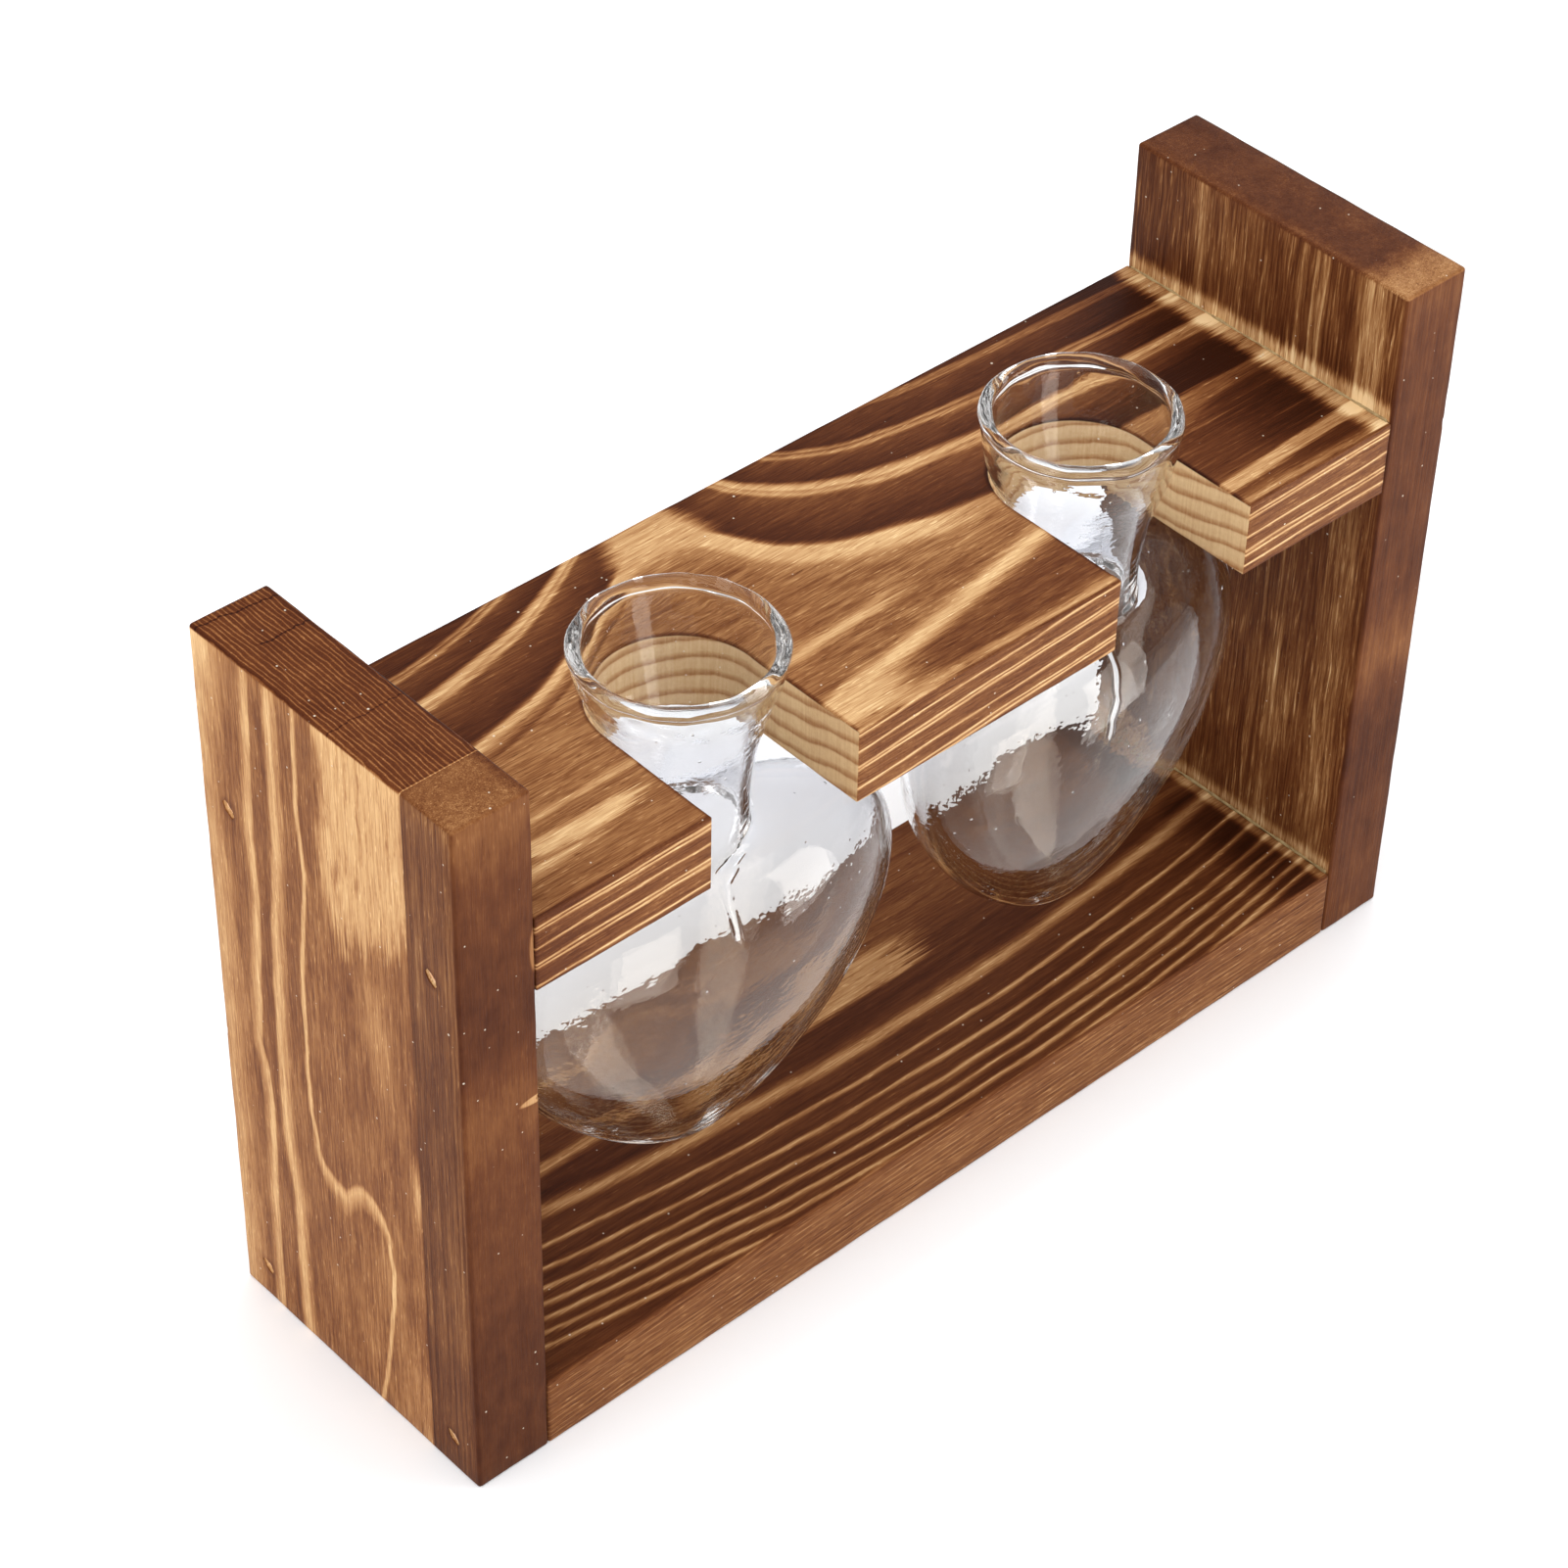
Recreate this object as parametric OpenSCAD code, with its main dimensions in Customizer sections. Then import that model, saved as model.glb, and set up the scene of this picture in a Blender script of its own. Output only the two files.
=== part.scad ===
// Two blown glass flasks that hang by their flared necks in a torched wooden stand.
// Millimetres. The origin is the middle of the stand's underside, with X along the shelf,
// Y from the front to the back and Z up.

/* [Stand] */
// Overall length, over the two end panels
stand_w = 222; // [210:1:260]
// Depth of all the boards, front to back
stand_d = 64; // [60:1:80]
// Thickness of the planed boards
board_t = 15; // [12:0.5:18]
// Clear height between the base board and the shelf
bay_h = 90.5; // [88:0.5:120]
// Height of the end panels above the shelf
panel_rise = 26; // [16:1:40]
// Width of the narrow stave at the front of the left panel
front_stave_w = 12; // [10:0.5:20]
// Chamfer on the outer edges of the boards
edge_ease = 0.6; // [0.3:0.1:1]

/* [Slots] */
// Width of each slot
slot_w = 31; // [30:0.5:33]
// Depth of each slot, from the shelf's front edge
slot_depth = 41; // [38:0.5:44]

/* [Brad nails] */
// Length of a brad, head included
brad_len = 30; // [25:1:35]
// Width of a brad's wire
brad_wire_w = 1.4; // [1:0.1:1.8]
// Thickness of a brad's wire
brad_wire_t = 1.1; // [0.9:0.1:1.4]
// Width of a brad's head
brad_head_w = 2.6; // [2:0.1:3.2]
// Height of a brad's head
brad_head_h = 1; // [0.6:0.1:1.4]
// Depth of a brad's head below the surface
brad_sunk = 0.5; // [0.3:0.1:1.5]
// Distance of the brads from the front and back edges
brad_inset = 6.6; // [4:0.1:7.5]
// Turn of a brad about its own length, from level
brad_turn = 45; // [0:5:90]

/* [Flasks] */
// Gap between the two flasks
flask_gap = 5; // [3:0.5:15]
// Gap between a flask and the end panel beside it
side_gap = 8.5; // [4:0.5:15]
// Depth of a flask's body, front to back
body_d = 37.5; // [30:0.5:42]
// Height of a flask's body, from its lowest point to the throat
body_h = 72; // [66:0.5:79]
// Outside diameter at the throat, the narrowest place of the neck
throat_d = 22; // [19:0.5:25]
// Distance of the throat below the shelf
throat_drop = 9; // [6:0.5:12]
// Thickness of the glass
glass_t = 1.5; // [1:0.1:2]
// Thickness of the rolled bead at the rim
bead_d = 2.5; // [2.2:0.1:3.4]
// Outside diameter of the left flask's rim
left_rim_d = 36; // [35:0.5:40]
// Outside diameter of the right flask's rim
right_rim_d = 35; // [35:0.5:40]
// Height of the left flask's rim above the shelf
rim_rise = 11; // [9:0.5:18]
// How much higher the right flask hangs than the left one
right_lift = 2; // [0:0.5:4]
// Turn of the left flask about its neck
left_turn = -2; // [-10:0.5:10]
// Turn of the right flask about its neck
right_turn = 9; // [-10:0.5:10]
// Lean of the flasks towards the front
lean = 2; // [0:0.5:3]

/* [Fits] */
// Gap between a flask's flare and the edge of its slot
seat_gap = 0.3; // [0.2:0.05:0.5]
// Gap between a brad and the wood around it
brad_fit = 0.05; // [0.02:0.01:0.1]

/* [Hidden] */

// The boards' places
panel_h = board_t + bay_h + board_t + panel_rise;
board_len = stand_w - 2 * board_t;
shelf_z = board_t + bay_h;
shelf_top = shelf_z + board_t;
glue_y = front_stave_w - stand_d / 2;
brad_y = stand_d / 2 - brad_inset;
brad_point = 2 * brad_wire_w;
slot_y = slot_depth - slot_w / 2 - stand_d / 2;
overrun = 1;
slot_fn = 96;

// The flasks are as wide as the bay and the gaps beside them let them be, one under each slot
body_w = (board_len - flask_gap) / 2 - side_gap;
slot_pitch = body_w + flask_gap;

// The flask's shape: the share of its height below the widest place, then the reach of the curves
// that draw its outline, as shares of its height, and of its half width at the bottom
widest_share = 0.67;
flank_share = 0.29;
shoulder_share = 0.35;
neck_hold_share = 0.1;
bottom_share = 0.28;
// How much sooner the shoulder falls in the depth than in the width
depth_fall = 1.8;
// How much the flare is steeper at the slot's edge than on average below it
flare_slope = 2;

sides = 48;
belly_steps = 9;
shoulder_steps = 9;
neck_steps = 5;
lip_steps = 4;
bead_steps = 8;
seat_r = slot_w / 2 - seat_gap;

char_brown = [0.36, 0.2, 0.1];
honey_brown = [0.62, 0.4, 0.2];
pale_steel = [0.75, 0.72, 0.68];
clear_glass = [0.8, 0.9, 0.92, 0.4];

// Value at t of the cubic curve with the four control values p
function bezier(p, t) =
    p[0] * pow(1 - t, 3) + 3 * p[1] * t * pow(1 - t, 2) + 3 * p[2] * pow(t, 2) * (1 - t) + p[3] * pow(t, 3);

// Value at t between a and b, leaving a with slope sa and reaching b with slope sb
function hermite(a, b, sa, sb, t) =
    a * (2 * pow(t, 3) - 3 * pow(t, 2) + 1) + sa * (pow(t, 3) - 2 * pow(t, 2) + t)
    + b * (3 * pow(t, 2) - 2 * pow(t, 3)) + sb * (pow(t, 3) - pow(t, 2));

// A ring of the flask is its height above the shelf's top, its half width and its half depth.
// Inset 0 gives the outside and the glass's thickness gives the inside.
function belly_rings(throat, inset) =
    let (low = throat - body_h, wide = low + widest_share * body_h)
    [for (i = [1:belly_steps])
        let (t = i / belly_steps, reach = bezier([0, bottom_share, 1, 1], t))
        [bezier([low + inset, low + inset, wide - flank_share * body_h, wide], t),
         (body_w / 2 - inset) * reach, (body_d / 2 - inset) * reach]];

function shoulder_rings(throat, inset) =
    let (wide = throat + (widest_share - 1) * body_h, neck_r = throat_d / 2 - inset)
    [for (i = [1:shoulder_steps])
        let (t = i / shoulder_steps, reach = bezier([1, 1, 0, 0], t))
        [bezier([wide, wide + shoulder_share * body_h - inset,
                 throat - neck_hold_share * body_h - inset, throat - inset], t),
         neck_r + (body_w / 2 - inset - neck_r) * reach,
         neck_r + (body_d / 2 - inset - neck_r) * pow(reach, depth_fall)]];

// The neck widens from the throat to the slot's edge, and from there to the bead
function neck_rings(throat, bead_r, bead_z, inset) =
    let (start = throat - inset,
         start_r = throat_d / 2 - inset,
         edge_r = seat_r - inset,
         slope = flare_slope * (edge_r - start_r),
         lip_h = bead_z - bead_low(),
         lip_r = bead_r + glass_t / 2 - inset)
    concat(
        [for (i = [1:neck_steps])
            let (t = i / neck_steps, r = hermite(start_r, edge_r, 0, slope, t))
            [start * (1 - t), r, r]],
        [for (i = [1:lip_steps - 1])
            let (t = i / lip_steps, r = hermite(edge_r, lip_r, -slope * lip_h / start, 0, t))
            [lip_h * t, r, r]]);

// The bead is a ring of round section that runs over the wall's edge
function bead_start() = acos(glass_t / bead_d);
function bead_low() = bead_d / 2 * sin(bead_start());
function bead_rings(bead_r, bead_z) =
    [for (i = [0:bead_steps])
        let (a = (180 + 2 * bead_start()) * i / bead_steps - bead_start(),
             r = bead_r + bead_d / 2 * cos(a))
        [bead_z + bead_d / 2 * sin(a), r, r]];

function reversed(rings) = [for (i = [1:len(rings)]) rings[len(rings) - i]];

// A point of a ring, turned about the neck and leaning forward with its depth
function flask_point(ring, a, turn) =
    let (x = ring[1] * cos(a), y = ring[2] * sin(a))
    [x * cos(turn) - y * sin(turn), x * sin(turn) + y * cos(turn) + ring[0] * tan(lean), ring[0]];

// The left panel without its brad holes, before it is cut at its glue line
module panel_blank() {
    translate([-stand_w / 2, -stand_d / 2, 0]) intersection() {
        linear_extrude(panel_h) eased_outline(board_t, stand_d);
        translate([0, stand_d, 0]) rotate([90, 0, 0])
            linear_extrude(stand_d) eased_outline(board_t, panel_h);
        rotate([90, 0, 90]) linear_extrude(board_t) eased_outline(stand_d, panel_h);
    }
}

// Rectangle from the origin with its corners cut off
module eased_outline(w, h) {
    polygon([
        [edge_ease, 0], [w - edge_ease, 0], [w, edge_ease], [w, h - edge_ease],
        [w - edge_ease, h], [edge_ease, h], [0, h - edge_ease], [0, edge_ease]
    ]);
}

// A brad along +X from its head, or with a gap the hole that it is driven through, open at the head
module brad(gap = 0, mouth = 0) {
    head = brad_head_w / 2 + gap;
    wire = brad_wire_w / 2 + gap;
    neck = brad_head_h + gap;
    taper = brad_len - brad_point;
    rotate([brad_turn, 0, 0]) linear_extrude(brad_wire_t + 2 * gap, center = true) polygon([
        [-mouth, -head], [neck, -head], [neck, -wire], [taper, -wire], [brad_len + gap, -gap],
        [brad_len + gap, gap], [taper, wire], [neck, wire], [neck, head], [-mouth, head]
    ]);
}

// The two brads of one joint on the left, at the middle of a board whose underside is at z
module brad_pair(z, gap = 0, mouth = 0) {
    for (side = [-1, 1])
        translate([brad_sunk - stand_w / 2, side * brad_y, z + board_t / 2]) brad(gap, mouth);
}

// Holes of all four brads on the left
module left_brad_holes() {
    for (z = [0, shelf_z])
        brad_pair(z, brad_fit, brad_sunk + overrun);
}

// A board between the panels, with eased long edges, whose underside is at z
module cross_board(z) {
    difference() {
        translate([-board_len / 2, -stand_d / 2, z])
            rotate([90, 0, 90]) linear_extrude(board_len) eased_outline(stand_d, board_t);
        left_brad_holes();
        mirror([1, 0, 0]) left_brad_holes();
    }
}

// A slot with a round back, open at the shelf's front edge
module slot() {
    cylinder(d = slot_w, h = board_t + 2 * overrun, $fn = slot_fn);
    translate([-slot_w / 2, -slot_depth, 0])
        cube([slot_w, slot_depth, board_t + 2 * overrun]);
}

// A flask in its own place, with the shelf's top at 0
module flask(rim_d, lift, turn) {
    throat = lift - board_t - throat_drop;
    bead_r = (rim_d - bead_d) / 2;
    bead_z = rim_rise + lift - bead_d / 2;
    rings = concat(
        belly_rings(throat, 0), shoulder_rings(throat, 0), neck_rings(throat, bead_r, bead_z, 0),
        bead_rings(bead_r, bead_z),
        reversed(neck_rings(throat, bead_r, bead_z, glass_t)),
        reversed(shoulder_rings(throat, glass_t)), reversed(belly_rings(throat, glass_t)));
    last = len(rings) - 1;
    inner_pole = (last + 1) * sides + 1;
    points = concat(
        [flask_point([throat - body_h, 0, 0], 0, turn)],
        [for (ring = rings) for (i = [0:sides - 1]) flask_point(ring, 360 * i / sides, turn)],
        [flask_point([throat - body_h + glass_t, 0, 0], 0, turn)]);
    faces = concat(
        [for (i = [0:sides - 1]) let (j = (i + 1) % sides) [0, 1 + i, 1 + j]],
        [for (k = [0:last - 1]) for (i = [0:sides - 1])
            let (j = (i + 1) % sides, low = 1 + k * sides, high = low + sides)
            each [[low + i, high + j, low + j], [low + i, high + i, high + j]]],
        [for (i = [0:sides - 1])
            let (j = (i + 1) % sides, low = 1 + last * sides)
            [low + i, inner_pole, low + j]]);
    polyhedron(points, faces, convexity = 6);
}

module left_panel_rear_stave() {
    color(honey_brown) difference() {
        panel_blank();
        translate([-stand_w, glue_y - stand_d, -overrun])
            cube([stand_w, stand_d, panel_h + 2 * overrun]);
        left_brad_holes();
    }
}

module left_panel_front_stave() {
    color(char_brown) difference() {
        panel_blank();
        translate([-stand_w, glue_y, -overrun]) cube([stand_w, stand_d, panel_h + 2 * overrun]);
        left_brad_holes();
    }
}

module right_panel() {
    color(honey_brown) mirror([1, 0, 0]) difference() {
        panel_blank();
        left_brad_holes();
    }
}

module shelf() {
    color(honey_brown) difference() {
        cross_board(shelf_z);
        for (side = [-1, 1])
            translate([side * slot_pitch / 2, slot_y, shelf_z - overrun]) slot();
    }
}

module base_board() {
    color(char_brown) cross_board(0);
}

module left_shelf_nails() {
    color(pale_steel) brad_pair(shelf_z);
}

module left_base_nails() {
    color(pale_steel) brad_pair(0);
}

module right_shelf_nails() {
    color(pale_steel) mirror([1, 0, 0]) brad_pair(shelf_z);
}

module right_base_nails() {
    color(pale_steel) mirror([1, 0, 0]) brad_pair(0);
}

module left_vase() {
    color(clear_glass) translate([-slot_pitch / 2, slot_y, shelf_top])
        flask(left_rim_d, 0, left_turn);
}

module right_vase() {
    color(clear_glass) translate([slot_pitch / 2, slot_y, shelf_top])
        flask(right_rim_d, right_lift, right_turn);
}

left_panel_rear_stave();
left_panel_front_stave();
right_panel();
shelf();
base_board();
left_shelf_nails();
left_base_nails();
right_shelf_nails();
right_base_nails();
left_vase();
right_vase();
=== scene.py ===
import math

import bmesh
import bpy
from mathutils import Matrix, Vector, noise


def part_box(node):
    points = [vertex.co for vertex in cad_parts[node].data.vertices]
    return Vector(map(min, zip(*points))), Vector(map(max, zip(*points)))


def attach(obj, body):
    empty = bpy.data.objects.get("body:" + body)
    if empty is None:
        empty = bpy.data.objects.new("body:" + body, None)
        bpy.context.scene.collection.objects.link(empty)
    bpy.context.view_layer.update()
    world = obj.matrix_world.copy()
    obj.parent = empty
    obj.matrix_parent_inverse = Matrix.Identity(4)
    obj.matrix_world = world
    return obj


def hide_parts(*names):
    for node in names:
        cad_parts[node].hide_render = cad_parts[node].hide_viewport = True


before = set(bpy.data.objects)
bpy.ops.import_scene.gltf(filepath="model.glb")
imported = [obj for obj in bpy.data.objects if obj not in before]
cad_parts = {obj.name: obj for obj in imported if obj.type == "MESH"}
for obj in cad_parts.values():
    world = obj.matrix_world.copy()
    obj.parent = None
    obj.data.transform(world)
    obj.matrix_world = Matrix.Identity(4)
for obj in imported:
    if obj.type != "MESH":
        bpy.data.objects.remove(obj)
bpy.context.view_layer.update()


# Table, light and camera.
# The stand is seen from its front left and from above, on a pale table that ends close in front of it,
# over a wide pale floor. Two tall soft boxes stand in front and are mirrored in the glass. A wide dim one
# hangs over the stand, and weak ones fill in from the left and from the back right.

MM = 0.001
scene = bpy.context.scene


def srgb(red, green, blue):
    """A colour as it is read off a screen, 0 to 255, as the linear colour that a shader takes."""
    parts = [value / 255 for value in (red, green, blue)]
    return [value / 12.92 if value < 0.04045 else ((value + 0.055) / 1.055) ** 2.4 for value in parts] + [1]


class Value:
    """A number, colour or vector that varies over a surface. Sums on a number add the Math nodes."""

    def __init__(self, finish, socket):
        self.finish = finish
        self.socket = socket

    def math(self, operation, *terms):
        """What the Math node of that name makes of this number and the terms."""
        return self.finish.node("Math", {"operation": operation}, dict(enumerate((self,) + terms)))

    def __add__(self, other):
        return self.math("ADD", other)

    __radd__ = __add__

    def __mul__(self, other):
        return self.math("MULTIPLY", other)

    __rmul__ = __mul__

    def __sub__(self, other):
        return self.math("SUBTRACT", other)

    def __rsub__(self, other):
        return self.finish.node("Math", {"operation": "SUBTRACT"}, {0: other, 1: self})

    def __truediv__(self, other):
        return self.math("DIVIDE", other)

    def __rtruediv__(self, other):
        return self.finish.node("Math", {"operation": "DIVIDE"}, {0: other, 1: self})

    def __pow__(self, other):
        return self.math("POWER", other)

    def __abs__(self):
        return self.math("ABSOLUTE")

    def at_least(self, other):
        return self.math("MAXIMUM", other)

    def at_most(self, other):
        return self.math("MINIMUM", other)

    def rise(self, low, high):
        """0 below low, 1 above high and a smooth rise between them. Low may be the larger of the two."""
        if low > high:
            return 1 - self.rise(high, low)
        return self.finish.node("MapRange", {"interpolation_type": "SMOOTHSTEP"}, {0: self, 1: low, 2: high})

    def hump(self, middle, width):
        """1 at the middle, falling smoothly to 0 at that distance on both sides."""
        return abs(self - middle).rise(width, 0)

    def fraction(self):
        """What is left over the whole number below it, which repeats a pattern at every 1."""
        return self.math("FRACT")

    def profile(self, stops, ease="LINEAR"):
        """The value that the stops give: pairs of a place on this number's axis and the value there."""
        low, high = stops[0][0], stops[-1][0]
        ramp = [((place - low) / (high - low), [level, level, level, 1]) for place, level in stops]
        return self.finish.node("ValToRGB", {"ramp": ramp, "ease": ease}, {0: (self - low) / (high - low)})


class Finish:
    """A node material. Every node of it comes from node()."""

    def __init__(self, name):
        self.material = bpy.data.materials.new(name)
        self.material.use_nodes = True
        self.tree = self.material.node_tree
        self.tree.nodes.clear()

    def node(self, kind, settings, sockets, out=0):
        """Adds a node, sets its settings, fills or links its sockets and gives one of its outputs."""
        node = self.tree.nodes.new("ShaderNode" + kind)
        for key, setting in settings.items():
            if key == "ramp":
                stops = node.color_ramp.elements
                while len(stops) < len(setting):
                    stops.new(0.5)
                for stop, (place, colour) in zip(stops, setting):
                    stop.position = place
                for stop, (place, colour) in zip(stops, setting):
                    stop.color = colour
            elif key == "ease":
                node.color_ramp.interpolation = setting
            else:
                setattr(node, key, setting)
        for key, value in sockets.items():
            if isinstance(value, Value):
                self.tree.links.new(value.socket, node.inputs[key])
            else:
                node.inputs[key].default_value = value
        return Value(self, node.outputs[out]) if node.outputs else node

    def place(self):
        """The three coordinates on the object, in millimetres."""
        place = self.node("TexCoord", {}, {}, "Object")
        parts = [self.node("SeparateXYZ", {}, {0: place}, axis) for axis in "XYZ"]
        return [part / MM for part in parts]

    def noise(self, x, y, z, detail=2.0, roughness=0.5, seed=0.0):
        """Smooth noise about 0, mostly between -1 and 1, of three coordinates."""
        vector = self.node("CombineXYZ", {}, {0: x, 1: y, 2: z + seed})
        factor = self.node("TexNoise", {}, {
            "Vector": vector, "Scale": 1.0, "Detail": detail, "Roughness": roughness})
        return (factor - 0.5) * 3.2

    def speck_gap(self, x, y, z, cell):
        """Distance from the nearest of scattered points, about one to a cell, as a share of the cell."""
        vector = self.node("CombineXYZ", {}, {0: x / cell, 1: y / cell, 2: z / cell})
        return self.node("TexVoronoi", {}, {"Vector": vector, "Scale": 1.0}, "Distance")

    def mix(self, amount, below, above, blend="MIX"):
        """One colour over another."""
        return self.node("Mix", {"data_type": "RGBA", "blend_type": blend},
                         {0: amount, 6: below, 7: above}, 2)

    def show(self, shader):
        """The finished material, with this shader on its surface."""
        self.node("OutputMaterial", {}, {"Surface": shader})
        return self.material


def seen(name, mesh, material):
    """Links a finished mesh into the scene under its piece's name."""
    piece = bpy.data.objects.new(name, mesh)
    scene.collection.objects.link(piece)
    mesh.materials.clear()
    mesh.materials.append(material)
    return piece


def mesh_of(name, bm):
    """The finished mesh of a bmesh, which is used up."""
    mesh = bpy.data.meshes.new(name)
    bm.to_mesh(mesh)
    bm.free()
    mesh.shade_smooth()
    return mesh


for name, half_size, centre, glow in (("table_top", 1.0, (0.0, 0.82, 0.0), 0.05),
                                      ("studio_floor", 200.0, (0.0, 0.0, -0.7), 0.4)):
    bm = bmesh.new()
    bmesh.ops.create_grid(bm, x_segments=1, y_segments=1, size=half_size, matrix=Matrix.Translation(centre))
    paper = Finish(name)
    x, y, z = paper.place()
    cloudy = paper.noise(x / 300, y / 300, z) * 0.01
    white = paper.mix(cloudy + 0.5, srgb(246, 246, 247), srgb(250, 250, 250))
    seen(name, mesh_of(name, bm), paper.show(paper.node("BsdfPrincipled", {}, {
        "Base Color": white, "Roughness": 0.9, "Specular IOR Level": 0.1, "Emission Color": (1, 1, 1, 1),
        "Emission Strength": glow})))

STAND_MIDDLE = (0.0, 0.0, 0.07)
SOFT_BOXES = [  # name, place, what it is aimed at, width and height in metres, watts
    ("overhead", (0.0, 0.0, 1.6), STAND_MIDDLE, 3.0, 3.0, 46),
    ("box_right", (0.625, -0.708, 0.02), (-0.035, -0.025, 0.02), 0.284, 0.9, 4.0),
    ("box_front", (-0.048, -0.97, 0.02), (-0.065, -0.022, 0.02), 0.31, 0.9, 4.4),
    ("left_fill", (-1.3, -0.1, 0.6), STAND_MIDDLE, 1.0, 0.8, 7),
    ("right_card", (1.2, 0.5, 0.4), STAND_MIDDLE, 0.9, 0.7, 3)]
for name, place, aim, width, height, watts in SOFT_BOXES:
    light = bpy.data.lights.new(name, "AREA")
    light.shape = "RECTANGLE"
    light.size, light.size_y = width, height
    light.energy = watts
    lamp = bpy.data.objects.new(name, light)
    lamp.location = place
    lamp.rotation_euler = (Vector(aim) - Vector(place)).to_track_quat("-Z", "Y").to_euler()
    scene.collection.objects.link(lamp)

ROOM_COLOUR = (0.86, 0.87, 0.9, 1)
ROOM_STRENGTH = 0.4
GLASS_BOUNCES = 64
scene.world = bpy.data.worlds.new("studio")
scene.world.use_nodes = True
room = scene.world.node_tree.nodes["Background"].inputs
room["Color"].default_value = ROOM_COLOUR
room["Strength"].default_value = ROOM_STRENGTH
scene.view_settings.view_transform = "Standard"
scene.cycles.max_bounces = GLASS_BOUNCES
scene.cycles.glossy_bounces = GLASS_BOUNCES
scene.cycles.transmission_bounces = GLASS_BOUNCES

PHOTO_WIDTH_PX = 1601
FOCAL_PX = 4393.1
SENSOR_WIDTH = 36.0
CAMERA_PLACE = (-0.39083, -0.40289, 0.56142)
CAMERA_TURN = (48.8532, -1.0282, -42.0552)
camera = bpy.data.objects.new("camera", bpy.data.cameras.new("camera"))
camera.data.sensor_width = SENSOR_WIDTH
camera.data.lens = SENSOR_WIDTH * FOCAL_PX / PHOTO_WIDTH_PX
camera.location = CAMERA_PLACE
camera.rotation_euler = [math.radians(angle) for angle in CAMERA_TURN]
scene.collection.objects.link(camera)
scene.camera = camera


# Base board.
# A planed softwood board between the end panels, torched until only the hard winter rings stayed
# light, brushed and oiled. Its ends are glued and nailed.

EASE = 0.6 * MM  # how far the edges are rounded
GRID = 4 * MM  # about the width of a face, fine enough for the wear to show
WEAR = 0.09 * MM  # the most that a face is worn or swollen
WEAR_LENGTH = 7 * MM  # about the length of one worn place
CORNER = 0.5  # in radians, the turn between two faces past which their edge is rounded
END_X = 96  # where the boards meet the panels, in millimetres as all numbers in the patterns are
HALF_DEPTH = 32


def grid_cuts(bm, axis, low, high, skips=()):
    """Cuts the whole mesh square to the axis about every grid width, but not within the skipped spans."""
    count = max(1, round((high - low) / GRID))
    for step in range(1, count):
        place = low + (high - low) * step / count
        if not any(start < place < end for start, end in skips):
            normal = Vector((axis == 0, axis == 1, axis == 2))
            bmesh.ops.bisect_plane(bm, geom=bm.verts[:] + bm.edges[:] + bm.faces[:], dist=1e-7,
                                   plane_co=normal * place, plane_no=normal)


def ease_edges(bm, offset, spare=lambda edge: False):
    """Rounds every edge between faces that meet at a clear angle, and wears the whole slightly uneven."""
    sharp = [edge for edge in bm.edges if edge.calc_face_angle(0) > CORNER and not spare(edge)]
    bmesh.ops.bevel(bm, geom=sharp, offset=offset, offset_type="OFFSET", segments=3, profile=0.5,
                    affect="EDGES", material=-1, clamp_overlap=True)
    bm.normal_update()
    for vertex in bm.verts:
        vertex.co += vertex.normal * WEAR * noise.noise(vertex.co / WEAR_LENGTH)


def sawn_board(low, high, spare=lambda edge: False):
    """A board that fills the box, as a grid of faces with eased edges."""
    bm = bmesh.new()
    bmesh.ops.create_cube(bm, size=1.0)
    size = high - low
    bmesh.ops.scale(bm, vec=size, verts=bm.verts)
    bmesh.ops.translate(bm, vec=(low + high) / 2, verts=bm.verts)
    for axis in range(3):
        grid_cuts(bm, axis, low[axis], high[axis])
    ease_edges(bm, EASE, spare)
    return bm


FIBRE_DEPTH = 0.16 * MM
BURNT = [(0.0, srgb(46, 18, 6)), (0.12, srgb(70, 33, 14)), (0.25, srgb(95, 52, 26)), (0.38, srgb(121, 75, 41)),
         (0.5, srgb(148, 102, 62)), (0.62, srgb(172, 127, 83)), (0.75, srgb(196, 155, 108)),
         (0.88, srgb(218, 182, 133)), (1.0, srgb(237, 206, 158))]


def torched(finish, tone, along, across, depth, sawn=None, quiet=0.0, stain=(1, 1, 1, 1)):
    """Torched and oiled softwood from its tone, 0 for char to 1 for honey, with its fibres along it.
    Sawn is a mask and a colour for walls cut after the torching, quiet takes the fibres' contrast down,
    and the stain is laid over the whole."""
    fibre = finish.noise(along / 7, across / 0.24, depth / 0.24, 2.0, 0.7)
    strand = finish.noise(along / 24, across / 0.75, depth / 0.75, 2.0, 0.6, 7.0)
    cloud = finish.noise(along / 16, across / 5, depth / 5, 3.0, 0.55, 3.0)
    dash = finish.noise(along / 2.6, across / 0.3, depth / 0.3, 1.0, 0.5, 11.0)
    flecks = dash.rise(0.4, 0.95) * 0.22 - dash.rise(-0.4, -1.0) * 0.17
    play = (tone.rise(0.0, 0.5) * 0.75 + 0.3) * (1 - quiet)
    char = tone + (fibre * 0.19 + strand * 0.08 + cloud * 0.06 + flecks) * play
    colour = finish.mix(1.0, finish.node("ValToRGB", {"ramp": BURNT}, {0: char}), stain, "MULTIPLY")
    if sawn is not None:
        colour = finish.mix(sawn[0], colour, sawn[1])
    gap = finish.speck_gap(along, across, depth, 3.4)
    dust = (gap + cloud * 0.04).rise(0.055, 0.03) * 0.8
    colour = finish.mix(dust, colour, srgb(222, 210, 190))
    relief = finish.node("Bump", {}, {"Strength": 0.6, "Distance": FIBRE_DEPTH,
                                      "Height": tone * 0.7 + fibre * 0.3 + dash * 0.12})
    return finish.show(finish.node("BsdfPrincipled", {}, {
        "Base Color": colour, "Roughness": 0.5 + fibre * 0.05 - char * 0.06, "Normal": relief,
        "Specular IOR Level": 0.06}))


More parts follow.
